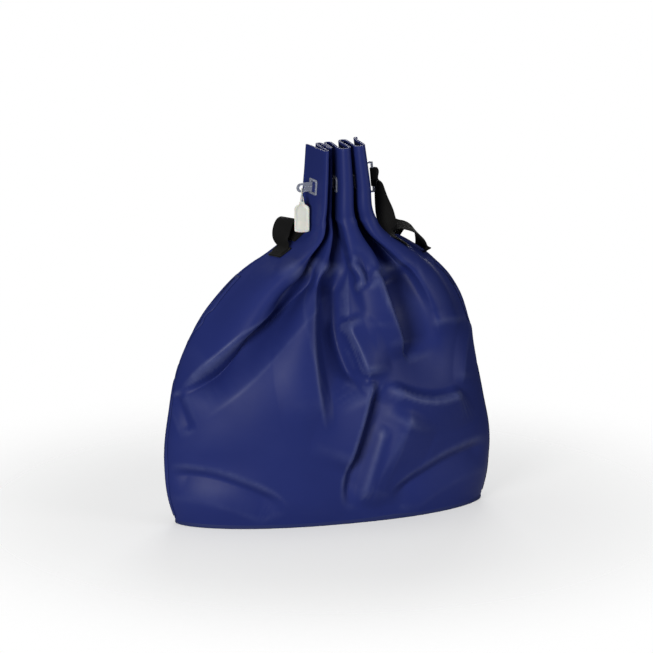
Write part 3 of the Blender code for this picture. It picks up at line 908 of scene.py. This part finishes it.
def blade_loops():
    """The blade's outline, its nose hole and the slot of its ring."""
    radius = BLADE_HEIGHT / 2
    end = BLADE_SHOULDER + 2 * RING_BAR + RING_SLOT
    high = RING_HEIGHT / 2
    corner, heel = 0.0018, 0.0016
    outline = arc(BLADE_NOSE + radius, 0.0, radius, 90, 270, 15)
    outline += arc(BLADE_SHOULDER - heel, -radius - heel, heel, 90, 0, 5)
    outline += arc(BLADE_SHOULDER + corner, -high + corner, corner, 180, 270, 5)
    outline += arc(end - corner, -high + corner, corner, 270, 360, 5)
    outline += arc(end - corner, high - corner, corner, 0, 90, 5)
    outline += arc(BLADE_SHOULDER + corner, high - corner, corner, 90, 180, 5)
    outline += arc(BLADE_SHOULDER - heel, radius + heel, heel, 0, -90, 5)
    hole = arc(NOSE_HOLE, 0.0, NOSE_HOLE_RADIUS, 0, 345, 24)
    low, right = RING_BAR - high, BLADE_SHOULDER + RING_BAR + RING_SLOT
    left, bend = BLADE_SHOULDER + RING_BAR, 0.001
    slot = arc(right - bend, -low - bend, bend, 0, 90, 4)
    slot += arc(left + bend, -low - bend, bend, 90, 180, 4)
    slot += arc(left + bend, low + bend, bend, 180, 270, 4)
    slot += arc(right - bend, low + bend, bend, 270, 360, 4)
    return [outline, hole, slot]


def make_blade():
    half = BLADE_THICKNESS / 2
    blade = plate_with_holes("blade_moulding", blade_loops(), half, BLADE_EDGE, CLEAR)
    settle(blade, blade_matrix())
    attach(blade, "closure")
    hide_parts("closure_blade")
    # a raised spine along each face stops the thin blade from bending
    ring = rounded_ring(SPINE_SIZE, SPINE_SIZE[1] / 2 - 0.0001)
    loop = [(x + BLADE_SHOULDER - SPINE_BACK, y) for x, y in ring]
    count = len(loop)
    faces = grid_faces(2, count, around=True)
    faces += [tuple(range(count))[::-1], tuple(range(count, 2 * count))]
    for face, word in ((-1, "front"), (1, "back")):
        points = [(x, y, face * half) for x, y in loop]
        points += [(x, y * 0.6, face * (half + SPINE_HEIGHT)) for x, y in loop]
        spine = recalculated(new_piece(f"blade_spine_{word}", points, faces, CLEAR))
        settle(spine, blade_matrix())
        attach(spine, "closure")


make_blade()


# --- webbing: tether and handles ------------------------------------------------------
# Black woven webbing 25 mm wide, ribbed along its length. The tether is looped round the
# ring's outer bar and sewn to the root of the neck. Each handle is one length that is
# sewn down at both ends and stands up in an arch between them.
WEBBING_WIDTH = 0.0250
WEBBING_THICKNESS = 0.0015
RIBS = 11
RIB_HEIGHT = 0.00022
PICK = 0.0011  # from one cross thread to the next but one
BLEND_BELOW = 0.12  # a share of a handle's rise, measured back below its foot
UPPER_LAPS = (0.008, 0.004, 0.001)
SEWN_LIFT = WELD_GAP + WEBBING_THICKNESS / 2
SEWN_LENGTH = 0.0115
HALF_WIDTH_SHARE = 0.0255  # half a strap, as a share of a row
NEAR_SEAM = 0.988  # no strap is sewn further towards the right seam than this share


def woven_webbing():
    """Black yarn: short picks across the ribs, slightly paler and rougher on their tops."""
    paint = Paint("webbing", Specular_IOR_Level=0.12, Sheen_Weight=0.05, Sheen_Roughness=0.5)
    woven = paint.node("ShaderNodeUVMap", {"uv_map": "weave"}, {})
    split = paint.node("ShaderNodeSeparateXYZ", {}, {"Vector": woven})
    along = Socket(paint, split.out.node.outputs["Y"])
    ribs = paint.node("ShaderNodeMath", {"operation": "SINE"}, {0: split * (math.tau * RIBS)})
    picks = paint.node("ShaderNodeMath", {"operation": "SINE"}, {0: along * (math.tau / PICK)})
    fuzz = paint.noise(1400.0, 3.0, 0.6)
    worn = paint.noise(45.0, 3.0, 0.6)
    pale = (picks * 0.25 + fuzz * 0.6 + worn * 0.35 - 0.35).limited()
    colour = paint.mixed(pale, (0.0030, 0.0030, 0.0030), (0.0140, 0.0135, 0.0120))
    height = ribs * picks * 0.00006 + fuzz * 0.00012
    paint.feed(
        Base_Color=colour,
        Roughness=fuzz * 0.15 + 0.70,
        Normal=paint.bump(height, 1.0, 0.8),
    )
    return paint.material


WEBBING = woven_webbing()


def webbing_section():
    """The outline across a strap: ribs on both faces, thin selvedges. As (across, out)."""
    per_rib = 6
    count = RIBS * per_rib
    half = WEBBING_THICKNESS / 2
    top = []
    for k in range(count + 1):
        x = k / count
        swell = abs(math.sin(math.pi * RIBS * x)) ** 0.7 * RIB_HEIGHT
        edge = min(1.0, min(x, 1.0 - x) / 0.03)
        top.append((x - 0.5, (half - RIB_HEIGHT) * (0.35 + 0.65 * edge) + swell * edge))
    return top + [(x, -y) for x, y in reversed(top)]


SECTION = webbing_section()


def webbing(name, stops, samples):
    """A strap through stops of (middle, direction of its width). The stops draw it as the
    control points of a smooth curve."""
    share = np.linspace(0.0, 1.0, samples)
    middles = b_spline([tuple(m) for m, _ in stops], share)
    widths = b_spline([tuple(w) for _, w in stops], share)
    tangents = np.gradient(middles, axis=0)
    lengths = np.concatenate(([0.0], np.cumsum(steps_along(middles))))
    points, texture = [], []
    for middle, width, run, gone in zip(middles, widths, tangents, lengths):
        run = Vector(run).normalized()
        across = Vector(width)
        across = (across - run * across.dot(run)).normalized()
        out = run.cross(across)
        for x, y in SECTION:
            points.append(Vector(middle) + across * (x * WEBBING_WIDTH) + out * y)
            texture.append((x + 0.5, gone))
    count = len(SECTION)
    faces = grid_faces(samples, count, around=True)
    last = (samples - 1) * count
    faces += [tuple(range(count))[::-1], tuple(range(last, last + count))]
    piece = new_piece(name, points, faces, WEBBING)
    layer = piece.data.uv_layers.new(name="weave")
    for loop in piece.data.loops:
        layer.data[loop.index].uv = texture[loop.vertex_index]
    return face_outwards(piece), lengths[-1]


def sewn_end(name, side, share, top):
    """The end of a handle that is sewn down, so that it follows the sheet under it."""
    across = np.linspace(-1.0, 1.0, 15)
    rows = []
    for drop in np.linspace(SEWN_LENGTH, 0.0, 10):
        half = HALF_WIDTH_SHARE
        for _ in range(5):
            shares = share + across * min(half, NEAR_SEAM - share)
            row = [above(side, x, top - drop, SEWN_LIFT) for x in shares]
            half *= WEBBING_WIDTH / row_length(row)
        rows.append(row)
    piece = strip(name + "_strap", rows, WEBBING_THICKNESS, WEBBING)
    layer = piece.data.uv_layers.new(name="weave")
    for loop in piece.data.loops:
        row, column = divmod(loop.vertex_index, len(across))
        along = row * SEWN_LENGTH / (len(rows) - 1)
        layer.data[loop.index].uv = (column / (len(across) - 1), along)
    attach(piece, "bag")
    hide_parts(name)
    middle = len(across) // 2
    flat = (row_length(rows[len(rows) // 2]), row_length([row[middle] for row in rows]))


def lapped(side, share, top, drop):
    """A stop on top of a sewn end, this far below its upper edge."""
    place = seat(side, share, top - drop, SEWN_LIFT + WEBBING_THICKNESS)
    return place.translation, place.col[0].to_3d()


def handle(name, side, upper, lower, stops, laps):
    """One strap: its two sewn ends, and the free arch that leaves from on top of them."""
    sewn_end(name + "_upper_end", side, *upper)
    sewn_end(name + "_lower_end", side, *lower)
    route = [lapped(side, *upper, drop) for drop in UPPER_LAPS]
    route += [(Vector(m), Vector(w)) for m, w in stops]
    route += [lapped(side, *lower, drop) for drop in laps]
    piece, length = webbing(name + "_strap", route, 110)
    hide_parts(name)
    foot, far = Vector(stops[0][0]), Vector(stops[-1][0])
    axis = (far - foot).normalized()
    crown = Vector(stops[len(stops) // 2][0]) - foot
    rise = crown - axis * crown.dot(axis)
    start = foot - rise * BLEND_BELOW
    tuple(start + rise * 0.62)
    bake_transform(piece)


# The straps' stops: the middle of the strap, and the direction of its width
LEFT_ARCH = (
    ((-0.0405, 0.0200, 0.3905), (0.36, -0.93, 0.00)),
    ((-0.0445, 0.0205, 0.4000), (0.40, -0.90, 0.00)),
    ((-0.0500, 0.0170, 0.4050), (0.60, -0.80, 0.00)),
    ((-0.0570, 0.0130, 0.4005), (0.80, -0.58, 0.00)),
    ((-0.0620, 0.0110, 0.3905), (0.85, -0.50, 0.00)),
    ((-0.0640, 0.0090, 0.3810), (0.70, -0.68, 0.00)),
    ((-0.0630, 0.0065, 0.3745), (0.40, -0.90, 0.00)),
)
RIGHT_ARCH = (
    ((0.0955, 0.0245, 0.3800), (0.45, -0.88, 0.00)),
    ((0.1000, 0.0190, 0.3840), (0.20, -0.95, -0.20)),
    ((0.1080, 0.0160, 0.3845), (0.00, -1.00, -0.35)),
    ((0.1190, 0.0150, 0.3810), (0.00, -1.00, -0.35)),
    ((0.1290, 0.0160, 0.3735), (0.10, -1.00, -0.30)),
    ((0.1360, 0.0190, 0.3630), (0.30, -0.95, -0.20)),
    ((0.1390, 0.0235, 0.3525), (0.40, -0.90, -0.10)),
)
handle("left_handle", -1, (0.050, 0.3845), (0.075, 0.3660), LEFT_ARCH, (0.001, 0.004, 0.008))
handle("right_handle", 1, (0.962, 0.3740), (0.965, 0.3440), RIGHT_ARCH, (0.0, 0.001, 0.002))


TETHER_FOOT = (0.885, 0.3740)  # share and height of the top of its sewn end
TETHER_SEWN = 0.0120


def make_tether():
    """Round the ring's bar and back, then a twist down to the root of the neck."""
    inside = BLADE_SHOULDER + RING_BAR + RING_SLOT - 0.0003 - WEBBING_THICKNESS / 2
    outside = inside + RING_BAR + 0.0025 + 0.0006 + WEBBING_THICKNESS
    deep = BLADE_THICKNESS / 2 + 0.0004 + WEBBING_THICKNESS / 2
    middle, reach = (inside + outside) / 2, (outside - inside) / 2
    upright = blade_point(0.0, 0.0, 1.0) - BLADE_CENTRE
    route = []
    for turn in range(-20, 341, 30):
        x = max(-1.0, min(1.0, 1.25 * math.cos(math.radians(turn))))
        y = max(-1.0, min(1.0, 1.25 * math.sin(math.radians(turn))))
        route.append((blade_point(middle + reach * x, deep * y, 0.0), upright))
    route += [
        (blade_point(outside + 0.0016, 0.0010, -0.0015), Vector((0.0, 0.35, 1.0))),
        (blade_point(outside + 0.0022, 0.0006, -0.0060), Vector((-0.1, 0.9, 0.6))),
        (blade_point(outside + 0.0026, 0.0, -0.0130), Vector((-0.20, 1.0, 0.1))),
        (Vector((0.0742, 0.0000, 0.4210)), Vector((-0.50, 0.9, 0.1))),
        (Vector((0.0772, -0.0090, 0.4040)), Vector((-0.85, 0.5, 0.2))),
        (Vector((0.0780, -0.0160, 0.3900)), Vector((-0.90, 0.2, 0.2))),
    ]
    for drop in (0.0, TETHER_SEWN / 2, TETHER_SEWN):
        place = seat(-1, TETHER_FOOT[0], TETHER_FOOT[1] - drop, SEWN_LIFT)
        route.append((place.translation, -place.col[0].to_3d()))
    piece, length = webbing("tether_webbing", route, 150)
    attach(piece, "bag")
    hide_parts("tether_strap")


make_tether()


# --- box stitches ---------------------------------------------------------------------
# Dark grey polyester thread, in a box with a cross through each sewn end of webbing.
# One set of Geometry Nodes lays the stitches along the lines it is given.
THREAD = 0.0006
STITCH = 0.0021
PITCH = 0.0027
STITCH_LIFT = SEWN_LIFT + 0.0007


def thread_finish():
    paint = Paint("thread", Specular_IOR_Level=0.2)
    fibre = paint.noise(2600.0, 2.0, 0.6)
    colour = paint.mixed(fibre, (0.010, 0.010, 0.011), (0.045, 0.045, 0.047))
    paint.feed(Base_Color=colour, Roughness=fibre * 0.2 + 0.6)
    return paint.material


THREAD_FINISH = thread_finish()


def stitch_nodes():
    """Nodes that turn lines into rows of stitches."""
    group = bpy.data.node_groups.new("stitches", "GeometryNodeTree")
    named = (("Lines", "Geometry"), ("Pitch", "Float"), ("Length", "Float"))
    for name, kind in named + (("Thickness", "Float"), ("Finish", "Material")):
        group.interface.new_socket(name, in_out="INPUT", socket_type="NodeSocket" + kind)
    group.interface.new_socket("Stitches", in_out="OUTPUT", socket_type="NodeSocketGeometry")
    nodes, links = group.nodes, group.links
    given, made = nodes.new("NodeGroupInput"), nodes.new("NodeGroupOutput")
    curve = nodes.new("GeometryNodeMeshToCurve")
    spots = nodes.new("GeometryNodeCurveToPoints")
    spots.mode = "LENGTH"
    bead = nodes.new("GeometryNodeMeshUVSphere")
    bead.inputs["Segments"].default_value = 8
    bead.inputs["Rings"].default_value = 6
    bead.inputs["Radius"].default_value = 0.5
    size = nodes.new("ShaderNodeCombineXYZ")
    copies = nodes.new("GeometryNodeInstanceOnPoints")
    whole = nodes.new("GeometryNodeRealizeInstances")
    finish = nodes.new("GeometryNodeSetMaterial")
    for source, out, target, into in (
        (given, "Lines", curve, "Mesh"),
        (curve, "Curve", spots, "Curve"),
        (given, "Pitch", spots, "Length"),
        (given, "Thickness", size, "X"),
        (given, "Thickness", size, "Y"),
        (given, "Length", size, "Z"),
        (spots, "Points", copies, "Points"),
        (spots, "Rotation", copies, "Rotation"),
        (bead, "Mesh", copies, "Instance"),
        (size, "Vector", copies, "Scale"),
        (copies, "Instances", whole, "Geometry"),
        (whole, "Geometry", finish, "Geometry"),
        (given, "Finish", finish, "Material"),
        (finish, "Geometry", made, "Stitches"),
    ):
        links.new(source.outputs[out], target.inputs[into])
    return group


STITCHES = stitch_nodes()


def stitched(name, lines, finish):
    """A piece made of stitches along lines of points."""
    points = [p for line in lines for p in line]
    data = bpy.data.meshes.new(name)
    edges, start = [], 0
    for line in lines:
        edges += [(start + k, start + k + 1) for k in range(len(line) - 1)]
        start += len(line)
    data.from_pydata([tuple(p) for p in points], edges, [])
    piece = placed(name, data)
    step = piece.modifiers.new("stitches", "NODES")
    step.node_group = STITCHES
    given = {"Finish": finish, "Pitch": PITCH, "Length": STITCH, "Thickness": THREAD}
    for socket in STITCHES.interface.items_tree:
        if socket.in_out == "INPUT" and socket.name in given:
            step[socket.identifier] = given[socket.name]
    bpy.context.view_layer.update()
    seen = piece.evaluated_get(bpy.context.evaluated_depsgraph_get())
    plain = bpy.data.meshes.new_from_object(seen)
    piece.modifiers.remove(step)
    piece.data = plain
    for face in plain.polygons:
        face.use_smooth = True
    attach(piece, "bag")


def box_stitch(side, share, top, drop):
    """The lines of a box and its cross on a sewn end, from its top down."""
    half, inset = HALF_WIDTH_SHARE * 0.80, 0.0015
    corners = ((-1, 0), (1, 0), (1, 1), (-1, 1))
    lines = []
    for path in (0, 1, 2, 3, 0, 2), (1, 3):
        line = []
        for a, b in zip(path, path[1:]):
            for t in np.linspace(0.0, 1.0, 9):
                x = corners[a][0] * (1 - t) + corners[b][0] * t
                y = corners[a][1] * (1 - t) + corners[b][1] * t
                height = top - inset - y * (drop - 2 * inset)
                line.append(above(side, share + x * half, height, STITCH_LIFT))
        lines.append(line)
    return lines


SEWN_ENDS = (
    (-1, 0.050, 0.3845, SEWN_LENGTH),
    (-1, 0.075, 0.3660, SEWN_LENGTH),
    (-1, *TETHER_FOOT, TETHER_SEWN),
    (1, 0.962, 0.3740, SEWN_LENGTH),
    (1, 0.965, 0.3440, SEWN_LENGTH),
)
box_lines = [line for end in SEWN_ENDS for line in box_stitch(*end)]
stitched("box_stitches", box_lines, THREAD_FINISH)


# --- inner backings -------------------------------------------------------------------
# Patches of the same coated sheet, welded to the inside of the sack behind the sewn ends.
# They spread the pull of the straps, and the box stitches go through them.
BACKING_THICKNESS = 0.0008


def backing(name, side, shares, heights):
    rows = []
    for height in np.linspace(*heights, 18):
        row = []
        for share in np.linspace(*shares, 24):
            point, out = ground(side, share, height)
            row.append(point - out * BACKING_THICKNESS)
        rows.append(row)
    piece = strip(name + "_patch", rows, BACKING_THICKNESS, VINYL)
    add_attribute(piece, "crest", np.zeros(len(piece.data.vertices)))
    add_attribute(piece, "inner", np.ones(len(piece.data.vertices)))
    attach(piece, "bag")
    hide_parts(name)
    wide, tall = row_length(rows[0]), row_length([row[0] for row in rows])


backing("left_handle_backing", -1, (0.045, 0.110), (0.335, 0.360))
backing("tether_backing", -1, (0.852, 0.898), (0.342, 0.368))
backing("right_handle_backing", 1, (0.905, 0.958), (0.325, 0.358))


# --- seal -----------------------------------------------------------------------------
# An off-white moulded padlock seal that is used once. Its wire-thin shackle goes over the
# bridge under the nose hole, and both ends snap into the body, past a small lock insert.
SEAL_WIDTH = 0.0200
SEAL_HEIGHT = 0.0410
SEAL_THICKNESS = 0.0034
SEAL_HINGE = -0.0048
SEAL_DROP = 0.0137
SEAL_TURN = math.radians(-17.0)
SEAL_LEAN = math.radians(17.0)
SEAL_BEND = 0.0030
SHACKLE_RADIUS = 0.0008
SHACKLE_SIDE = Vector((-0.0012, -0.0033, 0.0))
COLLAR_LEG = 0.0018
LEAN = Euler((-SEAL_LEAN, 0.0, SEAL_TURN)).to_matrix()
HINGE = blade_point(NOSE_HOLE, 0.0, SEAL_HINGE)
BEND = Vector((0.0, 0.0, SEAL_BEND))
HANG = Matrix.Translation(HINGE + LEAN @ BEND - BEND) @ LEAN.to_4x4()


def seal_plastic(name, pale, deep):
    """Moulded plastic that lets a little light in, clouded between a paler and a deeper tone."""
    paint = Paint(name, Subsurface_Weight=0.25, Subsurface_Scale=0.002, Specular_IOR_Level=0.45)
    cloud = paint.noise(120.0, 3.0, 0.55)
    fine = paint.noise(1200.0, 2.0, 0.5)
    paint.feed(
        Base_Color=paint.mixed(cloud, deep, pale),
        Roughness=cloud * 0.15 + 0.30,
        Normal=paint.bump(fine, 0.00003),
    )
    return paint.material


SEAL = seal_plastic("seal_plastic", (0.80, 0.81, 0.76), (0.66, 0.67, 0.58))
LOCK = seal_plastic("lock_plastic", (0.08, 0.16, 0.40), (0.05, 0.11, 0.30))


def seal_outline(inset):
    """Collar, sloping shoulders, straight sides and a slightly bowed foot."""
    half, foot = SEAL_WIDTH / 2, -SEAL_DROP - SEAL_HEIGHT
    right = [
        (0.0030, -SEAL_DROP),
        (0.0034, -SEAL_DROP - 0.0010),
        (0.0036, -SEAL_DROP - 0.0030),
        (0.0046, -SEAL_DROP - 0.0040),
        (0.0066, -SEAL_DROP - 0.0048),
        (half - 0.0014, -SEAL_DROP - 0.0066),
        (half - 0.0004, -SEAL_DROP - 0.0082),
        (half, -SEAL_DROP - 0.0100),
        (half, foot + 0.0036),
        (half - 0.0004, foot + 0.0020),
        (half - 0.0016, foot + 0.0009),
        (0.0045, foot + 0.0002),
    ]
    middle = -SEAL_DROP - 0.0225
    loop = right + [(0.0, foot)] + [(-x, z) for x, z in right[::-1]]
    shrunk = []
    for x, z in loop:
        pull = Vector((x, z - middle))
        shrink = max(0.0, 1.0 - inset / max(pull.length, 1e-6))
        shrunk.append((x * (1.0 - inset / (SEAL_WIDTH / 2)), middle + (z - middle) * shrink))
    return shrunk


def make_seal():
    half = SEAL_THICKNESS / 2
    rings = []
    for inset, y in ((0.0, 0.55), (0.0004, 0.9), (0.0009, 1.0), (0.0021, 1.0), (0.0026, 0.72)):
        rings.append([(x, -half * y, z) for x, z in seal_outline(inset)])
    rings.append([(x, -half * 0.70, z) for x, z in seal_outline(0.0045)])
    count = len(rings[0])
    back = [[(x, -y, z) for x, y, z in ring] for ring in rings]
    rows = back[::-1] + rings
    points = [p for ring in rows for p in ring]
    faces = grid_faces(len(rows), count, around=True)
    last = (len(rows) - 1) * count
    faces += [tuple(range(count))[::-1], tuple(range(last, last + count))]
    body = recalculated(new_piece("seal_moulding", points, faces, SEAL))
    settle(body, HANG)
    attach(body, "seal")
    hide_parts("seal_body")


def tube(name, path, radius, finish, sides=12):
    """A round rod along a path, with domed ends."""
    path = np.array(path)
    runs = np.gradient(path, axis=0)
    out = Vector((0.31, 0.87, 0.37))
    rings = []
    for k, (spot, run) in enumerate(zip(path, runs)):
        run = Vector(run).normalized()
        out = (out - run * out.dot(run)).normalized()
        side = run.cross(out)
        size = radius * (0.55 if k in (0, len(path) - 1) else 1.0)
        for c in range(sides):
            turn = math.tau * c / sides
            rings.append(Vector(spot) + (out * math.cos(turn) + side * math.sin(turn)) * size)
    faces = grid_faces(len(path), sides, around=True)
    last = (len(path) - 1) * sides
    faces += [tuple(range(sides))[::-1], tuple(range(last, last + sides))]
    return recalculated(new_piece(name, rings, faces, finish))


def make_shackle():
    legs = []
    for side in (1.0, -1.0):
        collar = Vector((-side * COLLAR_LEG, 0.0, 0.0003 - SEAL_DROP))
        foot = HANG @ collar - HINGE
        rise = foot + LEAN @ Vector((0.0, 0.0, 0.0025))
        control = [foot, rise, SHACKLE_SIDE * side - BEND, SHACKLE_SIDE * side]
        curve = b_spline([tuple(c) for c in control], np.linspace(0.0, 1.0, 16))
        legs.append([Vector(p) for p in curve])
    over = []
    for k in range(1, 16):
        turn = math.pi * k / 16
        lift = Vector((0.0, 0.0, -SHACKLE_SIDE.y * math.sin(turn)))
        over.append(SHACKLE_SIDE * math.cos(turn) + lift)
    route = [tuple(HINGE + p) for p in legs[0] + over + legs[1][::-1]]
    shackle = tube("seal_wire", route, SHACKLE_RADIUS, SEAL)
    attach(shackle, "seal")
    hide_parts("seal_shackle")


make_seal()
make_shackle()
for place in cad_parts["seal_lock_insert"].material_slots:
    place.material = LOCK
